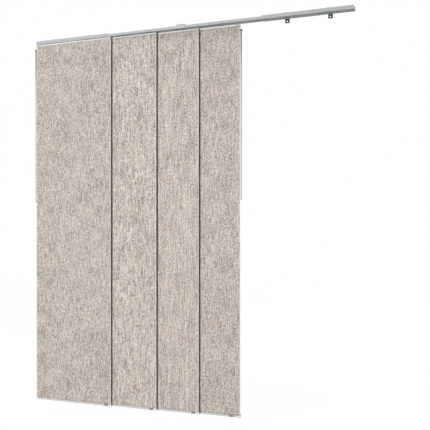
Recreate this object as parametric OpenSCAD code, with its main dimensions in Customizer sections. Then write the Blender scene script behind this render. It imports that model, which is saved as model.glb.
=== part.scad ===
// Panel track blind: a telescopic track with four channels and four fabric panels that slide past each other.
// X runs along the track from left to right, Y from the room to the wall, and Z up.
// The origin lies on the wall, midway between the screw holes of the two left wall brackets.
// The modules work in the track's own frame: x from the left end, y from the front face,
// and z from the underside of the rails.

/* [Outer rails] */
// Length of the left outer rail
left_rail_len = 555; // [480:1:900]
// Length of the right outer rail
right_rail_len = 555; // [480:1:900]
// Height of the outer rails
rail_h = 22; // [20:0.5:30]
// Wall of the outer rails
rail_wall = 1; // [0.8:0.1:1.3]
// Distance between neighbouring channels
pitch = 14; // [13.5:0.5:20]
// Width of the slot under each channel
slot_w = 5; // [4.4:0.1:5.6]
// Height of the clamp groove along the top
groove_h = 2.2; // [2:0.1:3.5]
// Width of the two flanges that close the clamp groove
flange_w = 3; // [2:0.1:6]
// Height of the line pressed into the front face
reed_h = 1.2; // [0.6:0.1:3]
// Depth of the line pressed into the front face
reed_depth = 0.35; // [0.2:0.05:0.5]
// Thickness of the end caps
cap_t = 2; // [1.5:0.1:4]
// Length of the end caps' plugs inside the channels
cap_plug = 2.5; // [2:0.1:3.5]

/* [Inner channels] */
// Length of the inner channels
channel_len = 1190; // [1000:1:1600]
// Length of inner channel held inside each outer rail in the extended track
overlap = 60; // [40:1:120]
// Wall of the inner channels
channel_wall = 0.8; // [0.6:0.1:1]
// Clearance between an inner channel and the outer rail around it
nest_gap = 0.3; // [0.2:0.05:0.4]

/* [Wall brackets] */
// Width of a wall bracket
bracket_w = 28; // [24:1:40]
// Thickness of a wall bracket
bracket_t = 2.5; // [2:0.1:3]
// Length of the bracket's leg below the rail
leg_drop = 25; // [22:1:45]
// Height of the screw holes above the lower end of the legs
hole_up = 11; // [9:0.5:14]
// Diameter of the wall screw holes
hole_d = 9; // [5:0.5:10]
// Distance from the track's end to the first bracket
bracket_from_end = 148; // [60:1:180]
// Distance between the two brackets of a rail
bracket_spacing = 264; // [150:1:290]
// Clearance between a rail and the leg behind it
leg_gap = 0.3; // [0.2:0.1:1]
// Diameter of the clamp screws
clamp_d = 5; // [4:0.5:6]
// Length of the clamp plates along the track
clamp_len = 24; // [14:1:28]

/* [Centre support] */
// Width of the centre support
support_w = 58; // [46:1:80]
// Thickness of the centre support's strap
support_t = 1.6; // [1.2:0.1:2.2]
// Height of the centre support above the inner channels
support_rise = 9.5; // [9:0.5:25]
// Distance of the centre support to the right of the inner channels' middle
support_shift = -7; // [-40:1:40]
// Distance between the centre support's two wall screw holes
support_spacing = 30; // [20:1:34]
// Diameter of the screws that hold the bridge
bridge_screw_d = 4; // [3:0.5:5]

/* [Panels] */
// Width of a panel
panel_w = 584; // [400:1:600]
// Height of a panel from the top of its hang rail to the lower edge of its bottom bar
panel_h = 2438; // [1500:1:2600]
// Distance of each panel from its stop at the left end of the track
panel_at = [0, 326, 617, 890]; // [0:1:1000]
// Height of the gap between the track and the hang rails
hang_drop = 3.5; // [3:0.5:10]
// Thickness of the fabric
fabric_t = 1; // [0.6:0.1:1.4]
// Thickness of each half of the hook and loop tape
tape_t = 1.1; // [0.8:0.1:1.4]
// Height of the hook and loop tape
tape_h = 20; // [12:1:20]

/* [Hang rails] */
// Height of the band that shows above the fabric
band_h = 8; // [7:0.5:10.5]
// Depth of the hang rail's top channel
band_d = 8.6; // [8:0.1:9]
// Height of the hang rail
hang_h = 41; // [40:1:60]
// Thickness of the hang rail's web
web_t = 1.8; // [1.2:0.1:2.2]
// Wall of the hang rail's hollow parts
hang_wall = 1; // [0.8:0.1:1.2]
// Height of the bead along the hang rail's lower edge
bead_h = 10; // [8:0.5:12]
// Depth of the bead
bead_d = 6.5; // [5:0.1:6.5]
// Length of the bead's plugs outside the rail
plug_len = 8; // [2:0.5:12]

/* [Runners] */
// Length of a runner's head in its channel
head_len = 24; // [20:1:30]
// Height of a runner's head
head_h = 9; // [6:0.5:11]
// Distance from a panel's edge to the middle of its runner
runner_from_edge = 17; // [17:1:40]
// Length of a runner's collar under the track
collar_len = 24; // [16:1:28]
// Clearance between a runner's head and the inner channel
run_gap = 0.4; // [0.3:0.05:0.5]
// Clearance between a runner's stem and the sides of the slot
stem_gap = 0.6; // [0.4:0.1:0.8]
// Clearance between a runner's head and the end cap's plug where a panel stops
stop_gap = 0.5; // [0.2:0.1:2]

/* [Bottom bars] */
// Height of a bottom bar
bar_h = 24; // [20:1:32]
// Thickness of a bottom bar behind the fabric
bar_t = 6.2; // [5:0.1:7]
// Height of the foot that shows below the fabric
foot_h = 12; // [9:0.5:14]
// Radius of the foot's lower edges
foot_r = 3; // [2:0.1:3]
// Wall of a bottom bar
bar_wall = 1; // [0.8:0.1:1.2]
// Wall of the shoes and clips around the foot
shoe_wall = 0.8; // [0.6:0.1:1]
// Length of the end shoes
shoe_len = 18; // [12:1:24]
// Length of the stop clip on a bottom bar
clip_len = 27; // [15:1:35]
// Distance from each panel's right edge to the middle of its stop clip
clip_from_edge = [34, 37, 38, 61]; // [32:1:120]

/* [Hidden] */
$fn = 48;
// Overshoot of a cut past the face that it opens
over = 1;
// Clearance between pieces that are pushed together
fit_gap = 0.15;
// Radius of the small moulded corners
soft_r = 1.5;

channels = 4;
channel_in = pitch - rail_wall;
rail_d = channels * pitch + rail_wall;
flange_z = rail_h - rail_wall;
groove_z = flange_z - groove_h;
plate_z = groove_z - rail_wall;
mouth_w = rail_d - 2 * (rail_wall + flange_w);

channel_w = channel_in - 2 * nest_gap;
channel_z = rail_wall + nest_gap;
channel_h = plate_z - rail_wall - 2 * nest_gap;
channel_top = channel_z + channel_h;
channel_bore = channel_w - 2 * channel_wall;
between = pitch - channel_w;

left_end = cap_t;
channel_x = left_end + left_rail_len - overlap;
right_rail_x = channel_x + channel_len - overlap;
track_len = right_rail_x + right_rail_len + cap_t;

wall_y = rail_d + leg_gap + bracket_t;
arm_y = rail_wall + flange_w + rail_wall;
bracket_top = rail_h + bracket_t;
hole_z = hole_up - leg_drop;
inner_bend_r = 0.5;
bend_r = bracket_t + inner_bend_r;
left_bracket_x = [bracket_from_end, bracket_from_end + bracket_spacing];
right_bracket_x = [for (x = left_bracket_x) track_len - x];
clamp_slack = 0.6;
clamp_t = groove_h - clamp_slack;
clamp_y = rail_d / 2;
screw_gap = 0.25;
thread_gap = 0.05;

support_x = channel_x + channel_len / 2 + support_shift;
support_top = channel_top + support_rise;
support_front = channel_y(0) - channel_w / 2 - fit_gap - support_t;
support_back = wall_y - support_t;
lip_t = nest_gap + rail_wall - 2 * fit_gap;
lip_z = channel_z - fit_gap - lip_t;
lip_front = channel_y(0) - slot_w / 2 - run_gap;
lip_back = channel_y(channels - 1) + slot_w / 2 + run_gap;
bridge_inset = 2;
bridge_w = support_w - 2 * bridge_inset;
bridge_z = channel_top + fit_gap;
bridge_h = support_top - support_t - bridge_z;
bridge_floor = 2.5;
screw_wall = 1.5;
bridge_rib = bridge_screw_d + 2 * screw_wall;
tooth_t = between - 2 * fit_gap;
tooth_h = channel_h - 4 * channel_wall;
bridge_screw_x = support_spacing / 2;

hang_z = -hang_drop;
head_w = channel_bore - 2 * run_gap;
head_z = channel_z + channel_wall + run_gap;
stem_t = slot_w - 2 * stem_gap;
stem_inset = 5;
stem_len = head_len - 2 * stem_inset;
cheek_t = 0.9;
collar_d = band_d + 2 * (fit_gap + cheek_t);
collar_gap = 0.7;
hang_slot = stem_t + 2 * fit_gap;
foot_w = band_d - 2 * hang_wall - 2 * fit_gap;
foot_t = band_h - 3 * hang_wall - fit_gap;
runner_x = [runner_from_edge, panel_w - runner_from_edge];
stop_x = cap_t + cap_plug + stop_gap + head_len / 2 - runner_from_edge;

web_front = -web_t / 2;
fabric_back = web_front - 2 * tape_t;
fabric_front = fabric_back - fabric_t;
tape_top = hang_z - band_h - fit_gap;
tape_inset = 2;
fabric_top = hang_z - band_h - fit_gap;
bar_z = hang_z - panel_h;
fabric_h = fabric_top - (bar_z + foot_h + fit_gap);
bar_front = fabric_front - fit_gap;
bar_back = fabric_back + bar_t;
bead_z = hang_z - hang_h;
plug_grip = 8;

fix_x = (left_bracket_x[0] + left_bracket_x[1]) / 2;
fix_z = hole_z;

white = [0.93, 0.93, 0.92];
rail_grey = [0.75, 0.76, 0.76];
light_grey = [0.84, 0.84, 0.83];
steel_navy = [0.20, 0.23, 0.30];
steel = [0.62, 0.63, 0.65];
dark_grey = [0.33, 0.33, 0.34];
linen = [0.74, 0.70, 0.66];

// Middle of a channel, counted from the front
function channel_y(k) = rail_wall + channel_in / 2 + k * pitch;

// Moves a piece from the track's frame to the part's own
module in_track() translate([-fix_x, -wall_y, -fix_z]) children();

// Moves a piece to the left edge of a panel, on the middle of its channel
module on_panel(k) in_track() translate([stop_x + panel_at[k], channel_y(k), 0]) children();

// Carries a section drawn in Y and Z along X
module along_x(length) rotate([90, 0, 90]) linear_extrude(length) children();

// Rectangle with round corners, from its lower left corner
module rounded(w, h, r) {
    translate([r, 0]) square([w - 2 * r, h]);
    translate([0, r]) square([w, h - 2 * r]);
    for (x = [r, w - r], y = [r, h - r]) translate([x, y]) circle(r);
}

// Bar with half-round ends, centred
module stadium(length, w) {
    square([length - w, w], center = true);
    for (side = [-1, 1]) translate([side * (length - w) / 2, 0]) circle(w / 2);
}

// Pan-head screw that points down, with the underside of its head at z = 0
module pan_screw(d, length) {
    pan_r = 0.95 * d;
    pan_h = 0.6 * d;
    dome_r = 1.6 * pan_r;
    socket_r = 0.28 * d;
    rotate_extrude() difference() {
        union() {
            translate([0, -length]) square([d / 2, length + pan_h / 2]);
            square([pan_r, pan_h / 2]);
            intersection() {
                translate([0, pan_h - dome_r]) circle(dome_r);
                square([pan_r, pan_h]);
            }
        }
        translate([0, pan_h / 2]) square([socket_r, pan_h]);
    }
}

// Section of the outer rails: four slotted channels under a flanged clamp groove
module rail_section() {
    difference() {
        square([rail_d, rail_h]);
        for (k = [0 : channels - 1]) {
            translate([channel_y(k) - channel_in / 2, rail_wall]) square([channel_in, plate_z - rail_wall]);
            translate([channel_y(k) - slot_w / 2, -over]) square([slot_w, rail_wall + 2 * over]);
        }
        translate([rail_wall, groove_z]) square([rail_d - 2 * rail_wall, groove_h]);
        translate([rail_wall + flange_w, groove_z]) square([mouth_w, groove_h + rail_wall + over]);
        translate([-over, (rail_h - reed_h) / 2]) square([over + reed_depth, reed_h]);
    }
}

// Section of one inner channel, centred on its slot
module channel_section() {
    difference() {
        translate([-channel_w / 2, channel_z]) square([channel_w, channel_h]);
        translate([-channel_bore / 2, channel_z + channel_wall])
            square([channel_bore, channel_h - 2 * channel_wall]);
        translate([-slot_w / 2, channel_z - over]) square([slot_w, channel_wall + 2 * over]);
    }
}

module outer_rail(x, length) color(rail_grey) in_track() translate([x, 0, 0]) along_x(length) rail_section();

module inner_channel(k) color(rail_grey) in_track()
    translate([channel_x, channel_y(k), 0]) along_x(channel_len) channel_section();

// End cap with a plug for each channel, drawn for the left end
module end_cap_form() {
    along_x(cap_t) {
        translate([0, soft_r]) square([rail_d, rail_h - soft_r]);
        rounded(rail_d, rail_h, soft_r);
    }
    for (k = [0 : channels - 1])
        translate([cap_t / 2, channel_y(k) - channel_in / 2 + fit_gap, rail_wall + fit_gap])
            cube([cap_t / 2 + cap_plug, channel_in - 2 * fit_gap, plate_z - rail_wall - 2 * fit_gap]);
}

module end_cap_left() color(light_grey) in_track() end_cap_form();

module end_cap_right() color(light_grey) in_track()
    translate([track_len, 0, 0]) mirror([1, 0, 0]) end_cap_form();

// Section of a wall bracket: an arm over the rail and a leg down the wall
module bracket_section() {
    difference() {
        union() {
            translate([arm_y, rail_h]) square([wall_y - arm_y, bracket_t]);
            translate([wall_y - bracket_t, -leg_drop]) square([bracket_t, leg_drop + bracket_top]);
        }
        translate([wall_y - bend_r, bracket_top - bend_r]) difference() {
            square(bend_r + over);
            circle(bend_r);
        }
    }
}

module wall_bracket(x) color(steel_navy) in_track() translate([x, 0, 0]) difference() {
    intersection() {
        translate([-bracket_w / 2, 0, 0]) along_x(bracket_w) bracket_section();
        translate([-bracket_w / 2, wall_y + over, -leg_drop]) rotate([90, 0, 0])
            linear_extrude(wall_y + 2 * over) rounded(bracket_w, leg_drop + bracket_top + 2 * soft_r, soft_r);
    }
    translate([0, wall_y + over, hole_z]) rotate([90, 0, 0]) cylinder(d = hole_d, h = bracket_t + 2 * over);
    translate([0, clamp_y, rail_h - over]) cylinder(d = clamp_d + 2 * screw_gap, h = bracket_t + 2 * over);
}

// Clamp plates that grip the groove's flanges from below
module clamp_plates(places) color(steel) in_track() for (x = places)
    translate([x, 0, flange_z - clamp_t]) difference() {
        translate([-clamp_len / 2, rail_wall + screw_gap, 0])
            cube([clamp_len, rail_d - 2 * (rail_wall + screw_gap), clamp_t]);
        translate([0, clamp_y, -over]) cylinder(d = clamp_d + 2 * thread_gap, h = clamp_t + 2 * over);
    }

module clamp_screws(places) color(steel) in_track() for (x = places)
    translate([x, clamp_y, bracket_top]) pan_screw(clamp_d, bracket_t + rail_wall + clamp_t);

// Section of the centre support: a strap from a lip under the front channel, over the top and down the wall
module support_section() {
    translate([support_front, lip_z]) square([support_t, support_top - lip_z]);
    translate([support_front, lip_z]) square([lip_front - support_front, lip_t]);
    translate([support_front, support_top - support_t]) square([wall_y - support_front, support_t]);
    translate([support_back, -leg_drop]) square([support_t, leg_drop + support_top]);
    translate([lip_back, lip_z]) square([wall_y - lip_back, lip_t]);
}

module centre_support() color(light_grey) in_track() translate([support_x, 0, 0]) difference() {
    translate([-support_w / 2, 0, 0]) along_x(support_w) support_section();
    for (side = [-1, 1]) {
        translate([side * support_spacing / 2, wall_y + over, hole_z]) rotate([90, 0, 0])
            cylinder(d = hole_d, h = support_t + 2 * over);
        translate([side * bridge_screw_x, clamp_y, support_top - support_t - over])
            cylinder(d = bridge_screw_d + 2 * screw_gap, h = support_t + 2 * over);
    }
}

// Section of the bridge: a ribbed block with a tooth between each pair of channels
module bridge_section() {
    block_y = support_front + support_t + fit_gap;
    block_d = rail_d - 2 * block_y;
    window_w = pitch - bridge_rib;
    difference() {
        translate([block_y, bridge_z]) square([block_d, bridge_h]);
        for (k = [0 : channels - 1])
            translate([channel_y(k) - window_w / 2, bridge_z + bridge_floor])
                square([window_w, bridge_h - 2 * bridge_floor]);
    }
    for (k = [1 : channels - 1])
        translate([channel_y(k) - pitch / 2 - tooth_t / 2, bridge_z - tooth_h])
            square([tooth_t, tooth_h + over]);
}

module channel_bridge() color(white) in_track() translate([support_x, 0, 0]) difference() {
    translate([-bridge_w / 2, 0, 0]) along_x(bridge_w) bridge_section();
    for (side = [-1, 1])
        translate([side * bridge_screw_x, clamp_y, bridge_z + bridge_floor])
            cylinder(d = bridge_screw_d + 2 * thread_gap, h = bridge_h);
}

module bridge_screws() color(steel) in_track() for (side = [-1, 1])
    translate([support_x + side * bridge_screw_x, clamp_y, support_top])
        pan_screw(bridge_screw_d, support_t + bridge_h - bridge_floor - over);

// Section of a runner's saddle: a collar under the track, two cheeks beside the hang rail
// and a foot inside it
module saddle_section() {
    translate([-collar_d / 2, hang_z]) square([collar_d, hang_drop - collar_gap]);
    for (y = [-collar_d / 2, collar_d / 2 - cheek_t])
        translate([y, hang_z - band_h]) square([cheek_t, band_h + hang_drop - collar_gap]);
    translate([-stem_t / 2, hang_z - hang_wall - fit_gap - foot_t]) square([stem_t, hang_drop + foot_t]);
    translate([-foot_w / 2, hang_z - hang_wall - fit_gap - foot_t]) square([foot_w, foot_t]);
}

// Runner: a boat-shaped head in the channel, a stem through the slot and a saddle on the hang rail
module runner() {
    translate([0, 0, head_z]) linear_extrude(head_h) stadium(head_len, head_w);
    translate([-stem_len / 2, -stem_t / 2, hang_z / 2])
        cube([stem_len, stem_t, head_z + head_h / 2 - hang_z / 2]);
    translate([-collar_len / 2, 0, 0]) along_x(collar_len) saddle_section();
}

module runners(k) color(light_grey) on_panel(k) for (x = runner_x) translate([x, 0, 0]) runner();

// Outline of the bead along the hang rail's lower edge
module bead_outline() translate([web_front, bead_z]) rounded(bead_d, bead_h, soft_r);

// Hollow inside the bead, or the plug that fills it when a gap is given
module bead_hollow(gap) {
    inset = hang_wall + gap;
    translate([web_front + inset, bead_z + inset]) square([bead_d - 2 * inset, bead_h - 2 * inset]);
}

// Section of a hang rail: a slotted top channel, a web for the tape and a hollow bead
module hang_section() {
    bore_w = band_d - 2 * hang_wall;
    difference() {
        union() {
            translate([-band_d / 2, hang_z - band_h]) square([band_d, band_h]);
            translate([web_front, bead_z + bead_h / 2]) square([web_t, hang_h - bead_h / 2 - hang_wall]);
            bead_outline();
        }
        translate([-bore_w / 2, hang_z - band_h + hang_wall]) square([bore_w, band_h - 2 * hang_wall]);
        translate([-hang_slot / 2, hang_z - hang_wall - over]) square([hang_slot, hang_wall + 2 * over]);
        bead_hollow(0);
    }
}

module hang_rail(k) color(white) on_panel(k) along_x(panel_w) hang_section();

// Plug in the end of the bead, drawn for the left end
module rail_plug() {
    translate([-plug_len, 0, 0]) along_x(plug_len) bead_outline();
    translate([-plug_len / 2, 0, 0]) along_x(plug_len / 2 + plug_grip) bead_hollow(fit_gap);
}

module rail_plugs(k) color(dark_grey) on_panel(k) {
    rail_plug();
    translate([panel_w, 0, 0]) mirror([1, 0, 0]) rail_plug();
}

// Strip of tape whose back lies at y
module tape(y) translate([tape_inset, y - tape_t, tape_top - tape_h])
    cube([panel_w - 2 * tape_inset, tape_t, tape_h]);

module hook_tape(k) color(white) on_panel(k) tape(web_front);

module loop_tape(k) color(linen) on_panel(k) tape(web_front - tape_t);

module fabric(k) color(linen) on_panel(k)
    translate([0, fabric_front, fabric_top - fabric_h]) cube([panel_w, fabric_t, fabric_h]);

// Section of the bottom bar's foot with round lower edges, grown by the wall of a shoe
module foot_section(grow) {
    w = bar_back - bar_front + 2 * grow;
    r = foot_r + grow;
    translate([bar_front - grow, bar_z - grow]) {
        translate([0, r]) square([w, foot_h + grow - r]);
        translate([r, 0]) square([w - 2 * r, r + over]);
        for (y = [r, w - r]) translate([y, r]) circle(r);
    }
}

// Outline of the whole bottom bar: the foot and the flat upper half behind the fabric
module bar_outline() {
    foot_section(0);
    translate([fabric_back, bar_z + foot_h - over]) square([bar_t, bar_h - foot_h + over]);
}

// Hollow inside the bottom bar, or the plug that fills it when a gap is given
module bar_hollow(gap) {
    inset = bar_wall + gap;
    translate([fabric_back + inset, bar_z + foot_r + gap])
        square([bar_t - 2 * inset, bar_h - foot_r - bar_wall - 2 * gap]);
}

module bottom_bar(k) color(light_grey) on_panel(k) along_x(panel_w) difference() {
    bar_outline();
    bar_hollow(0);
}

// Sleeve around the foot
module sleeve(length) along_x(length) difference() {
    foot_section(shoe_wall);
    foot_section(0);
}

// End shoe of a bottom bar, drawn for the left end
module end_shoe() {
    sleeve(shoe_len);
    translate([-shoe_wall, 0, 0]) along_x(shoe_wall) {
        foot_section(shoe_wall);
        bar_outline();
    }
    translate([-shoe_wall / 2, 0, 0]) along_x(shoe_wall / 2 + plug_grip) bar_hollow(fit_gap);
}

module end_shoes(k) color(white) on_panel(k) {
    end_shoe();
    translate([panel_w, 0, 0]) mirror([1, 0, 0]) end_shoe();
}

module stop_clip(k) color(dark_grey) on_panel(k)
    translate([panel_w - clip_from_edge[k] - clip_len / 2, 0, 0]) sleeve(clip_len);

outer_rail(left_end, left_rail_len);  // outer_rail_left
outer_rail(right_rail_x, right_rail_len);  // outer_rail_right
end_cap_left();
end_cap_right();
centre_support();
channel_bridge();
bridge_screws();
wall_bracket(left_bracket_x[0]);  // wall_bracket_left_1
wall_bracket(left_bracket_x[1]);  // wall_bracket_left_2
wall_bracket(right_bracket_x[0]);  // wall_bracket_right_1
wall_bracket(right_bracket_x[1]);  // wall_bracket_right_2
clamp_plates(left_bracket_x);  // clamp_plates_left
clamp_plates(right_bracket_x);  // clamp_plates_right
clamp_screws(left_bracket_x);  // clamp_screws_left
clamp_screws(right_bracket_x);  // clamp_screws_right
for (k = [0 : channels - 1]) {
    inner_channel(k);
    runners(k);
    hang_rail(k);
    rail_plugs(k);
    hook_tape(k);
    loop_tape(k);
    fabric(k);
    bottom_bar(k);
    end_shoes(k);
    stop_clip(k);
}
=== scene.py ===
# %% [markdown]
# # Dressing a panel track blind
#
# A panel track blind is a set of flat fabric panels that hang from one track and slide past each other.
# Here the track is telescopic: two outer rails with four channels each, and four slim inner channels
# that bridge the distance between them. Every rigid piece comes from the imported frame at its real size.
# What is left for this lesson is the cloth, the hook and loop tapes, the sewing, the two draw wands,
# every finish, the light and the camera.

# %% Load the frame
import math

import bpy
import numpy as np
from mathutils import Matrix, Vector


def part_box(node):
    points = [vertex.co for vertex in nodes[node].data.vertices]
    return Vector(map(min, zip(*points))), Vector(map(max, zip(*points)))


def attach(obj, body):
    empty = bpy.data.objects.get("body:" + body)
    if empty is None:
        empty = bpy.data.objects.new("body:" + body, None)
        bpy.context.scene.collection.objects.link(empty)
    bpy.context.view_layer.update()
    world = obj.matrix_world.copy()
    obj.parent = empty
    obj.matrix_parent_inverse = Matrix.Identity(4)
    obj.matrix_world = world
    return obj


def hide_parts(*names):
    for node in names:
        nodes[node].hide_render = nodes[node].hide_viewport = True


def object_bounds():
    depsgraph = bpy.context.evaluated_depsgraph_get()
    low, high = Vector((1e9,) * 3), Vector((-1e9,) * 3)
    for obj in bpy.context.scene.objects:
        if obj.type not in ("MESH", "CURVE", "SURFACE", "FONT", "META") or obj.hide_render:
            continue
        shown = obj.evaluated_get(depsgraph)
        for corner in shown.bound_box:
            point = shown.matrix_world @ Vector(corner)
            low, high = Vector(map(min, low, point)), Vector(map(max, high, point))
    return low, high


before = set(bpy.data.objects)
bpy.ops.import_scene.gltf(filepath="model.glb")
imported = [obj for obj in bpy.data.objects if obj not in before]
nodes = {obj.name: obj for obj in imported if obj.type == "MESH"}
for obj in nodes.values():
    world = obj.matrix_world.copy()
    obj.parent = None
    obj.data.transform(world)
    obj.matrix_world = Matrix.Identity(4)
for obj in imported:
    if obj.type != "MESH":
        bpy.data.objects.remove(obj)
cad_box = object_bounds()
MM = 0.001
PANELS = (1, 2, 3, 4)
print("frame:", len(nodes), "pieces, box", [tuple(round(c, 3) for c in corner) for corner in cad_box])

# %% [markdown]
# ## The camera
#
# The uprights of the panels stay parallel in the picture, so the camera is level, and its view is moved
# up with the lens shift instead of tilting it. Turning the camera by hand until it fits would also work,
# but the straight edges of the track and of the bottom bars settle the focal length, the turn and the
# place by themselves, so those numbers are used as they came out.

# %% Camera
PHOTO_PX = 430
FOCAL_PX = 712
HORIZON_PX = 231.8
SENSOR_MM = 36
CAMERA_PLACE = (2.664, -4.176, -1.275)
CAMERA_TURN_DEG = 21.49


def add_camera():
    """A level camera at the photograph's place, with its horizon moved down by the lens shift."""
    data = bpy.data.cameras.new("studio_camera")
    data.sensor_width = SENSOR_MM
    data.lens = SENSOR_MM * FOCAL_PX / PHOTO_PX
    data.shift_y = (HORIZON_PX - PHOTO_PX / 2) / PHOTO_PX
    camera = bpy.data.objects.new("studio_camera", data)
    camera.location = CAMERA_PLACE
    camera.rotation_euler = (math.radians(90), 0, math.radians(CAMERA_TURN_DEG))
    bpy.context.scene.collection.objects.link(camera)
    bpy.context.scene.camera = camera
    return camera


camera = add_camera()
print("camera: lens %.1f mm, shift %.3f" % (camera.data.lens, camera.data.shift_y))

# %% [markdown]
# ## Helpers for node trees
#
# A finish is a small graph of shader nodes. Adding the nodes one by one takes four lines each, so a few
# short helpers do it: one adds a node with its settings, one feeds a socket from a number or another
# socket, and one is a sum in the graph. They work the same in a material and in a node group.

# %% Node helpers


def feed(tree, socket, value):
    """Set a socket to a plain value, or wire another socket into it."""
    if isinstance(value, bpy.types.NodeSocket):
        tree.links.new(value, socket)
    else:
        socket.default_value = value


def add_node(tree, kind, settings=None, **inputs):
    """Add a node, set its own properties, and feed the inputs that are named with _ for a space."""
    node = tree.nodes.new(kind)
    for name, value in (settings or {}).items():
        setattr(node, name, value)
    for name, value in inputs.items():
        feed(tree, node.inputs[name.replace("_", " ")], value)
    return node


def sum_node(tree, operation, a, b=0.0):
    """One Math node: a and b are numbers or sockets, and its result is a socket."""
    node = tree.nodes.new("ShaderNodeMath")
    node.operation = operation
    feed(tree, node.inputs[0], a)
    feed(tree, node.inputs[1], b)
    return node.outputs[0]


def times_plus(tree, value, factor, offset):
    """A value times a factor plus an offset, in one Math node."""
    node = tree.nodes.new("ShaderNodeMath")
    node.operation = "MULTIPLY_ADD"
    for socket, given in zip(node.inputs, (value, factor, offset)):
        feed(tree, socket, given)
    return node.outputs[0]


def mix_colours(tree, factor, first, second):
    """Blend two colours by a factor, and return the blended colour's socket."""
    node = add_node(tree, "ShaderNodeMix", {"data_type": "RGBA"})
    feed(tree, node.inputs["Factor"], factor)
    feed(tree, node.inputs[6], first)
    feed(tree, node.inputs[7], second)
    return node.outputs[2]


def new_group(name, inputs, outputs):
    """An empty shader node group with named sockets, and its inner input and output sockets."""
    tree = bpy.data.node_groups.new(name, "ShaderNodeTree")
    for socket_name, kind, default in inputs:
        socket = tree.interface.new_socket(socket_name, in_out="INPUT", socket_type=kind)
        if default is not None:
            socket.default_value = default
    for socket_name in outputs:
        tree.interface.new_socket(socket_name, in_out="OUTPUT", socket_type="NodeSocketFloat")
    entry = tree.nodes.new("NodeGroupInput")
    leave = tree.nodes.new("NodeGroupOutput")
    return tree, entry.outputs, leave.inputs


def place_group(tree, group, **inputs):
    """Put a node group into a material's tree and feed its inputs."""
    node = tree.nodes.new("ShaderNodeGroup")
    node.node_tree = group
    for name, value in inputs.items():
        feed(tree, node.inputs[name.replace("_", " ")], value)
    return node.outputs


# %% [markdown]
# ## The slub weave
#
# The fabric is a tweed of slub yarns: yarns spun thick and thin, so that light and dark streaks run down
# the cloth, each a few millimetres wide and a centimetre or more long. A picture of cloth could be tiled,
# but it would repeat. Noises that are stretched along the warp give streaks that never repeat: slubs, finer
# ones between them, and threads that run on for several centimetres. One slow, weak noise makes the clouds
# that show from across a room. Noise alone looks like felt from close by, so the yarns cut it up: where a
# warp yarn lies on top, the noise is read on the middle line of that yarn, and where a weft yarn does, on
# the weft's. The group takes the cloth's own coordinates in metres, so the yarns keep their real size on
# every piece that uses it.

# %% Slub weave group
SLUB_WIDTH = 4.2 * MM
SLUB_LENGTH = 12 * MM
YARN_WIDTH = 1.1 * MM
CLOUD_WIDTH = 90 * MM
CLOUD_LENGTH = 130 * MM
LOT_WIDTH = 26 * MM
LOT_LENGTH = 46 * MM
FINE_SIZE = (0.3, 0.6)
THREAD_SIZE = (1.2, 7.0)
SLUB_WEIGHT = 2.2
FINE_WEIGHT = 1.5
THREAD_WEIGHT = 1.3
CLOUD_WEIGHT = 0.22
YARN_PAINTED_SHADE = 0.30
YARN_RELIEF = 0.7
LOT_WEIGHT = 2.5
OTHER_SEED = 7.3
MIDDLE = 0.5
MEAN_YARN_BACK = (2 / math.pi) ** 2


def slub_noise(tree, place, width, length, seed, detail):
    """Noise in cells of width by length: the coordinates are divided by the size of a cell."""
    cell = add_node(
        tree,
        "ShaderNodeCombineXYZ",
        X=sum_node(tree, "DIVIDE", place["X"], width),
        Y=sum_node(tree, "DIVIDE", place["Y"], length),
        Z=seed,
    )
    noise = add_node(tree, "ShaderNodeTexNoise", Vector=cell.outputs[0], Scale=1.0, Detail=detail)
    return sum_node(tree, "SUBTRACT", noise.outputs["Fac"], MIDDLE)


def plain_weave(tree, place, yarn_width):
    """The product of two sine waves, one along each way of the cloth, with half a wave to each yarn."""
    turn = sum_node(tree, "DIVIDE", math.pi, yarn_width)
    warp = sum_node(tree, "SINE", sum_node(tree, "MULTIPLY", place["X"], turn))
    weft = sum_node(tree, "SINE", sum_node(tree, "MULTIPLY", place["Y"], turn))
    return sum_node(tree, "MULTIPLY", warp, weft)


def yarn_middle(tree, along, yarn_width):
    """The middle line of the yarn that a coordinate lies on: the coordinate cut down to whole yarns,
    plus half a yarn."""
    return times_plus(tree, yarn_width, 0.5, sum_node(tree, "SNAP", along, yarn_width))


def blend_values(tree, factor, first, second):
    """first plus factor times the way from first to second."""
    return times_plus(tree, factor, sum_node(tree, "SUBTRACT", second, first), first)


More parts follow.
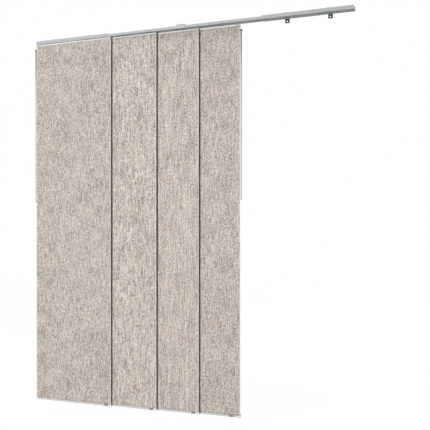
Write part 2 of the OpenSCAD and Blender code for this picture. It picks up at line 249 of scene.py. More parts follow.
def make_slub_weave():
    """Tone is the middle plus weighted slub noises, clouds and painted shade that darkens the gaps between
    the yarns and lightens their round backs; Height is the slubs with those backs on them; Drift is a slow
    noise for the change of hue over the cloth."""
    tree, given, result = new_group(
        "slub_weave",
        [
            ("Vector", "NodeSocketVector", None),
            ("Slub Width", "NodeSocketFloat", SLUB_WIDTH),
            ("Slub Length", "NodeSocketFloat", SLUB_LENGTH),
            ("Yarn Width", "NodeSocketFloat", YARN_WIDTH),
            ("Seed", "NodeSocketFloat", 0.0),
        ],
        ["Tone", "Height", "Drift"],
    )
    place = add_node(tree, "ShaderNodeSeparateXYZ", Vector=given["Vector"]).outputs
    wide, long, seed, yarn = (given[s] for s in ("Slub Width", "Slub Length", "Seed", "Yarn Width"))
    fine = [sum_node(tree, "MULTIPLY", size, share) for size, share in zip((wide, long), FINE_SIZE)]
    drawn_out = [sum_node(tree, "MULTIPLY", size, share) for size, share in zip((wide, long), THREAD_SIZE)]
    other_seed = sum_node(tree, "ADD", seed, OTHER_SEED)
    weave = plain_weave(tree, place, yarn)
    warp_on_top = sum_node(tree, "GREATER_THAN", weave, 0.0)
    on_yarn = {
        "X": blend_values(tree, warp_on_top, place["X"], yarn_middle(tree, place["X"], yarn)),
        "Y": blend_values(tree, warp_on_top, yarn_middle(tree, place["Y"], yarn), place["Y"]),
    }
    thick = slub_noise(tree, on_yarn, wide, long, seed, 1.0)
    thin = slub_noise(tree, on_yarn, *fine, other_seed, 2.0)
    threads = slub_noise(tree, on_yarn, *drawn_out, other_seed, 1.0)
    clouds = slub_noise(tree, place, CLOUD_WIDTH, CLOUD_LENGTH, seed, 1.0)
    lots = slub_noise(tree, place, LOT_WIDTH, LOT_LENGTH, other_seed, 2.0)
    streaks = times_plus(tree, thick, SLUB_WEIGHT, sum_node(tree, "MULTIPLY", thin, FINE_WEIGHT))
    streaks = times_plus(tree, threads, THREAD_WEIGHT, streaks)
    yarn_relief_and_shade = sum_node(tree, "SUBTRACT", sum_node(tree, "ABSOLUTE", weave), MEAN_YARN_BACK)
    toned = times_plus(tree, clouds, CLOUD_WEIGHT, streaks)
    # painted shade: the tone is darker in the gaps between yarns and lighter on their backs, besides the
    # relief
    toned = times_plus(tree, yarn_relief_and_shade, YARN_PAINTED_SHADE, toned)
    feed(tree, result["Tone"], sum_node(tree, "ADD", toned, MIDDLE))
    feed(tree, result["Height"], times_plus(tree, yarn_relief_and_shade, YARN_RELIEF, streaks))
    feed(tree, result["Drift"], times_plus(tree, lots, LOT_WEIGHT, MIDDLE))
    return tree


slub_weave = make_slub_weave()
print("group:", slub_weave.name, [s.name for s in slub_weave.interface.items_tree])

# %% [markdown]
# ## Three effects that hard pieces share
#
# Extruded bars carry faint lines from the die, along their length. Moulded plastic and sprayed paint have
# a fine grain instead. And everything that slides or is handled gets rubbed patches. Each of the three is
# a group, so that the rails, the bars, the caps and the brackets can use it with their own sizes.

# %% Groups for hard pieces
LINE_STRETCH = 1.3
RUB_START = 0.75
RUB_GAIN = -0.5
RUB_SOFTNESS = 0.2
RUB_RAGGED = 0.65


def make_die_lines():
    """Noise whose cells are about a metre long along X and a given spacing across it: lines down a bar."""
    tree, given, result = new_group(
        "die_lines",
        [("Vector", "NodeSocketVector", None), ("Spacing", "NodeSocketFloat", 0.8 * MM)],
        ["Lines"],
    )
    place = add_node(tree, "ShaderNodeSeparateXYZ", Vector=given["Vector"]).outputs
    cell = add_node(
        tree,
        "ShaderNodeCombineXYZ",
        X=sum_node(tree, "MULTIPLY", place["X"], LINE_STRETCH),
        Y=sum_node(tree, "DIVIDE", place["Y"], given["Spacing"]),
        Z=sum_node(tree, "DIVIDE", place["Z"], given["Spacing"]),
    )
    noise = add_node(tree, "ShaderNodeTexNoise", Vector=cell.outputs[0], Scale=1.0, Detail=2.0)
    feed(tree, result["Lines"], noise.outputs["Fac"])
    return tree


def make_moulded_grain():
    """Even noise with cells of a given size, as the eroded wall of a mould leaves on plastic."""
    tree, given, result = new_group(
        "moulded_grain",
        [("Vector", "NodeSocketVector", None), ("Size", "NodeSocketFloat", 0.5 * MM)],
        ["Grain"],
    )
    scale = sum_node(tree, "DIVIDE", 1.0, given["Size"])
    noise = add_node(tree, "ShaderNodeTexNoise", Vector=given["Vector"], Scale=scale, Detail=3.0)
    feed(tree, result["Grain"], noise.outputs["Fac"])
    return tree


def make_rub_marks():
    """A slow noise, cut by a soft threshold, that marks where a surface has been rubbed: 0 to 1."""
    tree, given, result = new_group(
        "rub_marks",
        [
            ("Vector", "NodeSocketVector", None),
            ("Size", "NodeSocketFloat", 30 * MM),
            ("Amount", "NodeSocketFloat", 0.4),
        ],
        ["Rubbed"],
    )
    scale = sum_node(tree, "DIVIDE", 1.0, given["Size"])
    noise = add_node(tree, "ShaderNodeTexNoise", Vector=given["Vector"], Scale=scale, Detail=6.0)
    noise.inputs["Roughness"].default_value = RUB_RAGGED
    start = times_plus(tree, given["Amount"], RUB_GAIN, RUB_START)
    span = add_node(tree, "ShaderNodeMapRange", {"interpolation_type": "SMOOTHSTEP"})
    feed(tree, span.inputs["Value"], noise.outputs["Fac"])
    feed(tree, span.inputs["From Min"], start)
    feed(tree, span.inputs["From Max"], sum_node(tree, "ADD", start, RUB_SOFTNESS))
    feed(tree, result["Rubbed"], span.outputs["Result"])
    return tree


die_lines = make_die_lines()
moulded_grain = make_moulded_grain()
rub_marks = make_rub_marks()
print("groups:", die_lines.name, moulded_grain.name, rub_marks.name)

# %% [markdown]
# ## Finishes of the hard pieces
#
# The rails are light grey coated aluminium, the hang rails the same in white, the bottom bars in a pale
# grey, the brackets dark blue painted steel. One function makes each kind of finish: it takes the piece's
# colour and scale, sets what is the same all over on the shader itself, and lets the groups change the
# colour a little, the roughness more, and the relief by hundredths of a millimetre.

# %% Materials of the hard pieces


def new_material(name, roughness, metallic=0.0, specular=0.5):
    """A material with one Principled BSDF, and the tree, shader and object coordinates to build on."""
    material = bpy.data.materials.new(name)
    material.use_nodes = True
    tree = material.node_tree
    shader = tree.nodes["Principled BSDF"]
    shader.inputs["Roughness"].default_value = roughness
    shader.inputs["Metallic"].default_value = metallic
    shader.inputs["Specular IOR Level"].default_value = specular
    where = tree.nodes.new("ShaderNodeTexCoord").outputs["Object"]
    return material, tree, shader, where


def shade(colour, factor):
    """The same colour, lighter or darker, with alpha 1."""
    return tuple(min(1.0, c * factor) for c in colour) + (1.0,)


def add_relief(tree, shader, height, depth):
    """Feed a height into the shader's normal by a Bump node whose strokes are depth metres deep."""
    bump = add_node(tree, "ShaderNodeBump", Height=height, Strength=1.0, Distance=depth)
    feed(tree, shader.inputs["Normal"], bump.outputs["Normal"])


def extruded_finish(name, colour, roughness, spacing):
    """A coated bar: die lines along it in tone and relief, and rubbed patches that are glossier."""
    material, tree, shader, where = new_material(name, roughness, specular=0.2)
    lines = place_group(tree, die_lines, Vector=where, Spacing=spacing)["Lines"]
    rubbed = place_group(tree, rub_marks, Vector=where, Size=60 * MM, Amount=0.35)["Rubbed"]
    toned = mix_colours(tree, lines, shade(colour, 0.94), shade(colour, 1.05))
    wear = sum_node(tree, "MULTIPLY", rubbed, 0.25)
    feed(tree, shader.inputs["Base Color"], mix_colours(tree, wear, toned, shade(colour, 1.10)))
    dull = times_plus(tree, lines, 0.25, roughness - 0.125)
    feed(tree, shader.inputs["Roughness"], times_plus(tree, rubbed, -0.12, dull))
    add_relief(tree, shader, lines, 0.04 * MM)
    return material


def moulded_finish(name, colour, roughness, grain_size):
    """Moulded plastic: a fine grain in tone and relief, and handled patches that are smoother."""
    material, tree, shader, where = new_material(name, roughness)
    grain = place_group(tree, moulded_grain, Vector=where, Size=grain_size)["Grain"]
    rubbed = place_group(tree, rub_marks, Vector=where, Size=20 * MM, Amount=0.45)["Rubbed"]
    toned = mix_colours(tree, grain, shade(colour, 0.93), shade(colour, 1.06))
    feed(tree, shader.inputs["Base Color"], toned)
    feed(tree, shader.inputs["Roughness"], times_plus(tree, rubbed, -0.18, roughness))
    add_relief(tree, shader, grain, 0.05 * MM)
    return material


def painted_steel(name, colour, bare, roughness):
    """Sprayed steel sheet: a slight orange peel, and rubbed places where the bare metal greys through."""
    material, tree, shader, where = new_material(name, roughness, specular=0.25)
    peel = place_group(tree, moulded_grain, Vector=where, Size=1.6 * MM)["Grain"]
    rubbed = place_group(tree, rub_marks, Vector=where, Size=9 * MM, Amount=0.25)["Rubbed"]
    coat = mix_colours(tree, peel, shade(colour, 0.9), shade(colour, 1.1))
    wear = sum_node(tree, "MULTIPLY", rubbed, 0.12)
    feed(tree, shader.inputs["Base Color"], mix_colours(tree, wear, coat, shade(bare, 1.0)))
    feed(tree, shader.inputs["Roughness"], times_plus(tree, rubbed, 0.2, roughness))
    add_relief(tree, shader, peel, 0.05 * MM)
    return material


def zinc_finish(name, colour, roughness):
    """Zinc-plated steel: patches of lighter and darker plating with their own gloss."""
    material, tree, shader, where = new_material(name, roughness, metallic=1.0)
    grain = place_group(tree, moulded_grain, Vector=where, Size=1.2 * MM)["Grain"]
    patches = place_group(tree, rub_marks, Vector=where, Size=5 * MM, Amount=0.6)["Rubbed"]
    plating = mix_colours(tree, patches, shade(colour, 0.85), shade(colour, 1.1))
    feed(tree, shader.inputs["Base Color"], plating)
    feed(tree, shader.inputs["Roughness"], times_plus(tree, patches, 0.15, roughness))
    add_relief(tree, shader, grain, 0.02 * MM)
    return material


RAIL_GREY = (0.425, 0.437, 0.437)
SUPPORT_GREY = (0.47, 0.484, 0.484)
RUNNER_GREY = (0.47, 0.48, 0.48)
HANG_WHITE = (0.71, 0.71, 0.70)
BAR_PALE = (0.52, 0.53, 0.53)
SHOE_WHITE = (0.74, 0.74, 0.73)
NAVY = (0.005, 0.034, 0.075)
PLUG_BLACK = (0.035, 0.036, 0.040)
CLIP_GREY = (0.16, 0.165, 0.17)
ZINC = (0.62, 0.63, 0.65)

finishes = {
    "rail": extruded_finish("coated_rail", RAIL_GREY, 0.55, 0.8 * MM),
    "hang": extruded_finish("white_hang_rail", HANG_WHITE, 0.50, 1.0 * MM),
    "bar": extruded_finish("pale_bottom_bar", BAR_PALE, 0.50, 0.7 * MM),
    "cap": moulded_finish("grey_end_cap", RAIL_GREY, 0.55, 0.6 * MM),
    "support": painted_steel("grey_support", SUPPORT_GREY, ZINC, 0.55),
    "bridge": moulded_finish("white_bridge", HANG_WHITE, 0.50, 0.5 * MM),
    "runner": moulded_finish("grey_runner", RUNNER_GREY, 0.50, 0.4 * MM),
    "plug": moulded_finish("black_plug", PLUG_BLACK, 0.55, 0.5 * MM),
    "shoe": moulded_finish("white_shoe", SHOE_WHITE, 0.45, 0.4 * MM),
    "clip": moulded_finish("dark_clip", CLIP_GREY, 0.55, 0.5 * MM),
    "bracket": painted_steel("navy_bracket", NAVY, ZINC, 0.50),
    "zinc": zinc_finish("zinc_screw", ZINC, 0.35),
}
print("hard finishes:", ", ".join(finishes))

# %% [markdown]
# ## Giving each piece of the frame its finish
#
# The names of the pieces start with what they are, so a short list of beginnings sorts them. The soft
# pieces, fabric and tapes, are missing from the list: they are made anew below.

# %% Assign the finishes
FINISH_OF = {
    "outer_rail": "rail",
    "inner_channel": "rail",
    "end_cap": "cap",
    "centre_support": "support",
    "channel_bridge": "bridge",
    "bridge_screws": "zinc",
    "wall_bracket": "bracket",
    "clamp_plates": "zinc",
    "clamp_screws": "zinc",
    "runners": "runner",
    "hang_rail": "hang",
    "rail_plugs": "plug",
    "bottom_bar": "bar",
    "end_shoes": "shoe",
    "stop_clip": "clip",
}

for name, piece in nodes.items():
    for start, finish in FINISH_OF.items():
        if name.startswith(start):
            piece.data.materials.clear()
            piece.data.materials.append(finishes[finish])
print("finished:", sum(name.startswith(tuple(FINISH_OF)) for name in nodes), "of", len(nodes))

# %% [markdown]
# ## From a grid of points to a mesh
#
# Every new piece is a surface over two parameters. numpy works out all its points at once, as an array of
# rows by columns by three, and the faces follow from the same grid: a point, the one below, the one
# diagonally below and the right neighbour. One function turns such an array into a mesh, also when many
# small grids are stacked in one array, as for stitches. Where a grid goes round a thread, its last column
# joins the first, and a face closes each end.

# %% Grid mesh


def grid_faces(rows, columns, around):
    """Four-sided faces of a grid whose points are numbered row by row; around joins the last column
    to the first one."""
    row = np.arange(rows - 1)[:, None] * columns
    here = np.arange(columns if around else columns - 1)
    right = (here + 1) % columns
    below = row + columns
    faces = np.stack([row + here, below + here, below + right, row + right])
    return faces.reshape(4, -1).T


def mesh_from_grids(name, grids, uv=None, around=False):
    """An object from an array (grids, rows, columns, 3). uv, if given, is (rows, columns, 2)."""
    count, rows, columns, _ = grids.shape
    first = np.arange(count)[:, None, None] * rows * columns
    faces = (grid_faces(rows, columns, around)[None] + first).reshape(-1, 4)
    every_face = faces.tolist()
    if around:
        ring = np.arange(columns)
        ends = np.stack([ring, (rows - 1) * columns + ring[::-1]])
        every_face += (ends[None] + first).reshape(-1, columns).tolist()
    mesh = bpy.data.meshes.new(name)
    mesh.from_pydata(grids.reshape(-1, 3), [], every_face)
    if uv is not None:
        layer = mesh.uv_layers.new(name="cloth")
        layer.data.foreach_set("uv", uv.reshape(-1, 2)[faces.ravel()].astype(np.float32).ravel())
    mesh.polygons.foreach_set("use_smooth", np.ones(len(every_face), bool))
    mesh.update()
    piece = bpy.data.objects.new(name, mesh)
    bpy.context.scene.collection.objects.link(piece)
    return piece


def thicken(piece, thickness):
    """Give a surface a wall behind it, away from its normals."""
    wall = piece.modifiers.new("thickness", "SOLIDIFY")
    wall.thickness = thickness
    wall.offset = -1.0
    wall.use_quality_normals = True


def smooth_step(value):
    """0 below 0, 1 above 1, and a smooth rise between."""
    t = np.clip(value, 0.0, 1.0)
    return t * t * (3 - 2 * t)


# %% [markdown]
# ## The fabric panels
#
# A panel is pressed flat at its top, where the tape holds it, and again at its foot, where the bar pulls
# it straight. Between them the cloth is nearly a plane, but not quite: it bows by a fraction of a
# millimetre, and its free side edges curl a little to the room. A cloth simulation would spend minutes on
# a sheet that hardly moves, so the small movements are written as a formula over the cloth's width and
# height. They fade out towards the tape and the bar, where the cloth lies on something.

# %% Fabric sheets
CLOTH_THICKNESS = 0.9 * MM
EDGE_CURL = 1.6 * MM
CURL_WIDTH = 12 * MM
BOW = 0.5 * MM
HELD_HEIGHT = 30 * MM
LOOSE_HEIGHT = 160 * MM
BOWS_ACROSS = 0.9
BOWS_DOWN = 1.3
BOW_SHIFT = 0.23
CELL = 9 * MM
CROWDING = 0.85


def crowded_ends(count):
    """Steps from 0 to 1 that are closer together at both ends: t less a sine wave over its whole range."""
    t = np.linspace(0, 1, count)
    return t - CROWDING * np.sin(2 * math.pi * t) / (2 * math.pi)


def cloth_surface(low, high, phase):
    """Points of the cloth's front: a plane at the front of the box, plus a slow bow along both ways and
    a curl to the room that falls off from each side edge, both times how loose the cloth is there."""
    width, height = high.x - low.x, high.z - low.z
    columns, rows = round(width / CELL) + 1, round(height / CELL) + 1
    u, v = np.meshgrid(crowded_ends(columns) * width, np.linspace(0, height, rows))
    loose = smooth_step((np.minimum(v, height - v) - HELD_HEIGHT) / LOOSE_HEIGHT)
    curl = EDGE_CURL * np.exp(-np.minimum(u, width - u) / CURL_WIDTH)
    across = np.sin(2 * math.pi * (BOWS_ACROSS * u / width + phase))
    downward = np.cos(2 * math.pi * (BOWS_DOWN * v / height + phase))
    y = low.y - loose * (curl + BOW * across * downward)
    points = np.stack([low.x + u, y, high.z - v], axis=-1)
    return points, np.stack([u, v], axis=-1)


def make_panel_cloth(k):
    """One fabric panel, in the place of its solid."""
    low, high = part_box(f"fabric_{k}")
    points, uv = cloth_surface(low, high, BOW_SHIFT * k)
    piece = mesh_from_grids(f"tweed_panel_{k}", points[None], uv)
    thicken(piece, CLOTH_THICKNESS)
    return piece


cloths = {k: make_panel_cloth(k) for k in PANELS}
for k, cloth in cloths.items():
    print(cloth.name, len(cloth.data.vertices), "points")

# %% [markdown]
# ## The fabric's finish
#
# Light and dark yarns are two colours, and the weave's tone says which shows. A slow drift leans the mix
# to a warm or a greyer side, as dyed lots of yarn do. The cut side edges are sealed with heat, which
# leaves a rim of a few millimetres that is smoother; that rim is also painted much lighter, a painted
# highlight along each side edge: the cloth's own coordinates tell how far a point is from its edge. Each
# panel has its own seed, and its yarn colours are scaled by its own factor, a little lighter or darker.

# %% Fabric materials
YARN_DARK = (0.085, 0.068, 0.056)
YARN_LIGHT = (0.825, 0.759, 0.699)
YARN_WARM = (0.530, 0.394, 0.342)
YARN_GREY = (0.400, 0.410, 0.368)
# each panel's yarn colours are scaled by its own factor, so some panels are a little lighter and others
# darker
PANEL_TONE = {1: 0.975, 2: 1.035, 3: 1.035, 4: 1.015}
SEED_STEP = 3.7
HUE_SHARE = 0.3
CLOTH_ROUGHNESS = 0.92
SEALED_RIM = 6 * MM
RIM_HIGHLIGHT_SHARE = 0.8
RIM_SMOOTHER = 0.25


def rim_mask(tree, place, width):
    """1 on the cut side edges, falling to 0 at the inner end of the sealed rim."""
    other = sum_node(tree, "SUBTRACT", width, place["X"])
    inside = sum_node(tree, "MINIMUM", place["X"], other)
    share = sum_node(tree, "DIVIDE", inside, SEALED_RIM)
    return sum_node(tree, "SUBTRACT", 1.0, sum_node(tree, "MINIMUM", share, 1.0))


def tweed_finish(k, width):
    """Tweed in two yarns with slubs down the cloth, a drift of hue, and smoother side edges with a painted
    highlight.
    """
    material, tree, shader, _ = new_material(f"tweed_{k}", CLOTH_ROUGHNESS, specular=0.15)
    shader.inputs["Sheen Weight"].default_value = 0.08
    shader.inputs["Sheen Roughness"].default_value = 0.6
    along = add_node(tree, "ShaderNodeUVMap", {"uv_map": "cloth"}).outputs["UV"]
    place = add_node(tree, "ShaderNodeSeparateXYZ", Vector=along).outputs
    weave = place_group(tree, slub_weave, Vector=along, Seed=SEED_STEP * k)
    yarns = mix_colours(tree, weave["Tone"], shade(YARN_DARK, PANEL_TONE[k]), shade(YARN_LIGHT, PANEL_TONE[k]))
    hue = mix_colours(tree, weave["Drift"], shade(YARN_WARM, PANEL_TONE[k]), shade(YARN_GREY, PANEL_TONE[k]))
    leaning = mix_colours(tree, HUE_SHARE, yarns, hue)
    rim = rim_mask(tree, place, width)
    # painted highlight: the rim along the cut edges is blended towards a light yarn colour
    rim_highlight_share = sum_node(tree, "MULTIPLY", rim, RIM_HIGHLIGHT_SHARE)
    sealed_with_highlight = mix_colours(tree, rim_highlight_share, leaning, shade(YARN_LIGHT, 1.05))
    feed(tree, shader.inputs["Base Color"], sealed_with_highlight)
    feed(tree, shader.inputs["Roughness"], times_plus(tree, rim, -RIM_SMOOTHER, CLOTH_ROUGHNESS))
    add_relief(tree, shader, weave["Height"], 0.2 * MM)
    return material


for k, cloth in cloths.items():
    low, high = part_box(f"fabric_{k}")
    cloth.data.materials.append(tweed_finish(k, high.x - low.x))
    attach(cloth, f"panel_{k}")
    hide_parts(f"fabric_{k}")
print("tweed on", len(cloths), "panels")

# %% [markdown]
# ## Hook and loop tape
#
# Each hang rail carries a strip of hook tape, and the fabric carries the loop half, so a panel can be
# pulled off for washing. A hook tape is a band with rows of stiff little hooks; a loop tape has soft,
# uneven tufts. Modelling thousands of wire hooks would cost more than the whole blind and lie hidden
# between cloth and rail. A grid with one bump per hook keeps the row pattern that shows at the ends.

# %% Tape strips
HOOK_PITCH = 2.5 * MM
POINTS_PER_HOOK = 2
HOOK_RISE = 0.5 * MM
TUFT_WIDTH = 3.1 * MM
TUFT_HEIGHT = 2.3 * MM
BAND_THICKNESS = 0.5 * MM


def tape_surface(low, high, front, uneven):
    """Points of a tape's pile: a plane at the pile's root, plus one cosine bump per hook in staggered
    rows. front is -1 where the pile faces the room. uneven blends the bumps into slower, softer waves."""
    width, height = high.x - low.x, high.z - low.z
    columns = round(width / HOOK_PITCH) * POINTS_PER_HOOK + 1
    rows = round(height / HOOK_PITCH) * POINTS_PER_HOOK + 1
    u, v = np.meshgrid(np.linspace(0, width, columns), np.linspace(0, height, rows))
    stagger = math.pi * np.floor(v / HOOK_PITCH + 0.01)
    hooks = np.cos(2 * math.pi * u / HOOK_PITCH + stagger) * np.cos(2 * math.pi * v / HOOK_PITCH)
    tufts = np.sin(u / TUFT_WIDTH) * np.sin(v / TUFT_HEIGHT)
    rise = HOOK_RISE * (0.5 + 0.5 * ((1 - uneven) * hooks + uneven * tufts))
    root = low.y + HOOK_RISE if front < 0 else high.y - HOOK_RISE
    order = 1 if front < 0 else -1
    points = np.stack([low.x + u, root + front * rise, high.z - v], axis=-1)
    return points[:, ::order], np.stack([u, v], axis=-1)[:, ::order]


def tape_finish(name, dark, light, seed):
    """Woven band: the slub weave again, with slubs as small as the tape's own yarns."""
    material, tree, shader, _ = new_material(name, 0.85)
    along = add_node(tree, "ShaderNodeUVMap", {"uv_map": "cloth"}).outputs["UV"]
    weave = place_group(
        tree,
        slub_weave,
        Vector=along,
        Slub_Width=0.8 * MM,
        Slub_Length=1.6 * MM,
        Yarn_Width=0.5 * MM,
        Seed=seed,
    )
    feed(tree, shader.inputs["Base Color"], mix_colours(tree, weave["Tone"], dark, light))
    feed(tree, shader.inputs["Roughness"], times_plus(tree, weave["Tone"], 0.15, 0.75))
    add_relief(tree, shader, weave["Height"], 0.15 * MM)
    return material


hook_white = tape_finish("hook_tape_white", (0.60, 0.60, 0.59, 1.0), (0.84, 0.84, 0.83, 1.0), 1.0)
loop_beige = tape_finish("loop_tape_beige", (0.42, 0.38, 0.34, 1.0), (0.66, 0.61, 0.56, 1.0), 2.0)


def make_tape(kind, k, front, uneven, finish):
    """One strip of tape in the place of its solid: kind is hook or loop."""
    low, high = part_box(f"{kind}_tape_{k}")
    points, uv = tape_surface(low, high, front, uneven)
    piece = mesh_from_grids(f"{kind}_strip_{k}", points[None], uv)
    thicken(piece, BAND_THICKNESS)
    piece.data.materials.append(finish)
    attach(piece, f"panel_{k}")
    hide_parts(f"{kind}_tape_{k}")
    return piece


hook_strips = {k: make_tape("hook", k, -1, 0.0, hook_white) for k in PANELS}
loop_strips = {k: make_tape("loop", k, 1, 0.8, loop_beige) for k in PANELS}
strips = [*hook_strips.values(), *loop_strips.values()]
print("tapes:", len(strips), "strips of", len(strips[0].data.vertices), "points")

# %% [markdown]
# ## The sewing
#
# Two rows of lockstitch hold the loop tape to the back of the fabric and show on its front, just under
# the white band. Drawing the thread as a texture would look flat from close by. One stitch is a short
# piece of thread that dives into the cloth at both ends, a grid of a few points that goes round it, and
# an array of shifts repeats it along both rows at once.

# %% Stitches
STITCH_LENGTH = 3.4 * MM
STITCH_STEP = 4.4 * MM
THREAD = 0.5 * MM
ROW_INSET = 2.5 * MM
STITCH_ENDS = (0.03, 0.97)
ALONG_POINTS = 6
AROUND_POINTS = 6
TWIST = 0.6 * MM


def one_stitch():
    """A stitch on the plane y = 0: a tube along x that is thickest in its middle, and whose middle line
    rises from the plane as half a sine wave."""
    along = np.linspace(*STITCH_ENDS, ALONG_POINTS)[:, None]
    around = np.arange(AROUND_POINTS) * 2 * math.pi / AROUND_POINTS
    arch = np.sin(math.pi * along)
    radius = THREAD / 2 * np.sqrt(arch)
    x = np.broadcast_to((along - 0.5) * STITCH_LENGTH, (ALONG_POINTS, AROUND_POINTS))
    y = THREAD / 2 * (0.5 - arch) - radius * np.cos(around)
    z = radius * np.sin(around)
    return np.stack([x, y, z], axis=-1)


def make_stitches(k):
    """Both rows of stitches on one panel."""
    low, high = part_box(f"loop_tape_{k}")
    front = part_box(f"fabric_{k}")[0].y
    count = int((high.x - low.x) / STITCH_STEP) - 1
    middles = (low.x + high.x) / 2 + (np.arange(count) - (count - 1) / 2) * STITCH_STEP
    heights = np.array([low.z + ROW_INSET, high.z - ROW_INSET])
    x, z = (a.ravel() for a in np.meshgrid(middles, heights))
    shifts = np.stack([x, np.full_like(x, front), z], axis=-1)
    stitches = one_stitch()[None] + shifts[:, None, None, :]
    return mesh_from_grids(f"tape_stitching_{k}", stitches, around=True)


def thread_finish():
    """Twisted sewing thread: fine slanting bands of relief along the stitch, with painted shade in the
    grooves.
    """
    material, tree, shader, where = new_material("sewing_thread", 0.7)
    place = add_node(tree, "ShaderNodeSeparateXYZ", Vector=where).outputs
    slant = sum_node(tree, "ADD", place["X"], place["Z"])
    twist = sum_node(tree, "SINE", sum_node(tree, "MULTIPLY", slant, 2 * math.pi / TWIST))
    band = times_plus(tree, twist, 0.5, 0.5)
    # painted shade: the colour is darker where the twist's relief is low
    strands_with_painted_shade = mix_colours(tree, band, (0.42, 0.38, 0.34, 1.0), (0.62, 0.57, 0.52, 1.0))
    feed(tree, shader.inputs["Base Color"], strands_with_painted_shade)
    add_relief(tree, shader, band, 0.05 * MM)
    return material


thread = thread_finish()
stitchings = {k: make_stitches(k) for k in PANELS}
for k, piece in stitchings.items():
    piece.data.materials.append(thread)
    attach(piece, f"panel_{k}")
    low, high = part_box(f"fabric_{k}")
print("stitches:", [len(p.data.vertices) // (ALONG_POINTS * AROUND_POINTS) for p in stitchings.values()])

# %% [markdown]
# ## The draw wands
#
# The first and the last panel are pulled by a wand each: a slim plastic rod, a good metre long, that hangs
# at the panel's outer edge. A sleeve, pushed over the plug of the hang rail, holds it. Stacked cylinders
# would show their joints, so the rod is one profile, a radius for each distance from its top, that is
# turned round its middle line. The sleeve is built alike, with a rounded rectangle in place of the circle.

# %% Wand shapes
WAND_SIDE = {1: -1, 4: 1}
WAND_FOOT = -1077 * MM
WAND_OUTSIDE = 5.6 * MM
WAND_RADIUS = 5 * MM
NECK_RADIUS = 3 * MM
NECK_LENGTH = 8 * MM
NECK_TAPER = 6 * MM
FOOT_RADIUS = 5.4 * MM
FOOT_LENGTH = 14 * MM
FOOT_STEP = 2 * MM
SLEEVE_LENGTH = 11 * MM
SLEEVE_WALL = 1.6 * MM
SLEEVE_LIP = 0.8 * MM
SLEEVE_ENDS = 0.15
FOOT_CLOSED = 0.995
WAND_ROWS = 240
SLEEVE_ROWS = 17
RING_POINTS = 24

ring_turn = np.arange(RING_POINTS) * 2 * math.pi / RING_POINTS


def wand_radius(down, length):
    """The radius at a distance from the top: a neck that widens to the rod, a foot that is a little
    thicker, and an end that closes as a quarter of a circle."""
    rod = NECK_RADIUS + (WAND_RADIUS - NECK_RADIUS) * smooth_step((down - NECK_LENGTH) / NECK_TAPER)
    foot = (FOOT_RADIUS - WAND_RADIUS) * smooth_step((down - length + FOOT_LENGTH) / FOOT_STEP)
    closing = np.clip((down - length) / FOOT_RADIUS + 1, 0.0, FOOT_CLOSED)
    return (rod + foot) * np.sqrt(1 - closing**2)


def wand_surface(top):
    """Points of a rod that hangs from its top point: rings of the radius, closer together at both ends."""
    length = top[2] - WAND_FOOT
    down = crowded_ends(WAND_ROWS)[:, None] * length
    radius = wand_radius(down, length)
    z = np.broadcast_to(-down, (WAND_ROWS, RING_POINTS))
    return np.stack([radius * np.cos(ring_turn), radius * np.sin(ring_turn), z], axis=-1) + top


def sleeve_surface(middle, half_depth, half_height, side):
    """Points of a sleeve along x: the square roots of a circle's coordinates make a rounded rectangle, and
    an eighth power draws it in at both ends. side is -1 where it points to the left."""
    along = crowded_ends(SLEEVE_ROWS)[:, None] - 0.5
    drawn_in = 1 - SLEEVE_ENDS * (2 * along) ** 8
    across = np.sign(np.cos(ring_turn)) * np.sqrt(np.abs(np.cos(ring_turn)))
    upward = np.sign(np.sin(ring_turn)) * np.sqrt(np.abs(np.sin(ring_turn)))
    x = np.broadcast_to(side * SLEEVE_LENGTH * along, (SLEEVE_ROWS, RING_POINTS))
    y = half_depth * drawn_in * across
    z = -side * half_height * drawn_in * upward
    return np.stack([x, y, z], axis=-1) + middle


def make_wand(k, side):
    """The rod at one outer edge of a panel, in the plane of the cloth, and the sleeve that reaches to it
    from the plug of the hang rail."""
    low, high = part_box(f"rail_plugs_{k}")
    cloth_low, cloth_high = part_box(f"fabric_{k}")
    x = (cloth_low.x if side < 0 else cloth_high.x) + side * WAND_OUTSIDE
    z = (low.z + high.z) / 2
    rod_y = (cloth_low.y + cloth_high.y) / 2
    front, back = rod_y - NECK_RADIUS - SLEEVE_LIP, high.y + SLEEVE_WALL
    half_height = (high.z - low.z) / 2 + SLEEVE_WALL
    rod = wand_surface(np.array([x, rod_y, z]))
    sleeve = sleeve_surface(np.array([x, (front + back) / 2, z]), (back - front) / 2, half_height, side)
    return {
        "draw_wand": mesh_from_grids(f"draw_wand_{k}", rod[None], around=True),
        "wand_sleeve": mesh_from_grids(f"wand_sleeve_{k}", sleeve[None], around=True),
    }


wands = {k: make_wand(k, side) for k, side in WAND_SIDE.items()}
for wand in wands.values():
    print(wand["draw_wand"].name, [round(c, 4) for c in wand["draw_wand"].dimensions])

# %% [markdown]
# ## The wands' finish
#
# The rod is grey plastic, painted darker at its top and fading down its length: painted shade that stands
# in for the dark that clear plastic would carry down from the sleeve. Real glass-like plastic would need
# many rays to show that. A map from the height on the rod to a share of painted shade blends two greys
# instead.
# The sleeves take the finish of the plugs.

# %% Wand finish
WAND_GREY = (0.60, 0.60, 0.59)
WAND_PAINTED_SHADE = (0.27, 0.27, 0.26)
PAINTED_SHADE_LENGTH = 380 * MM


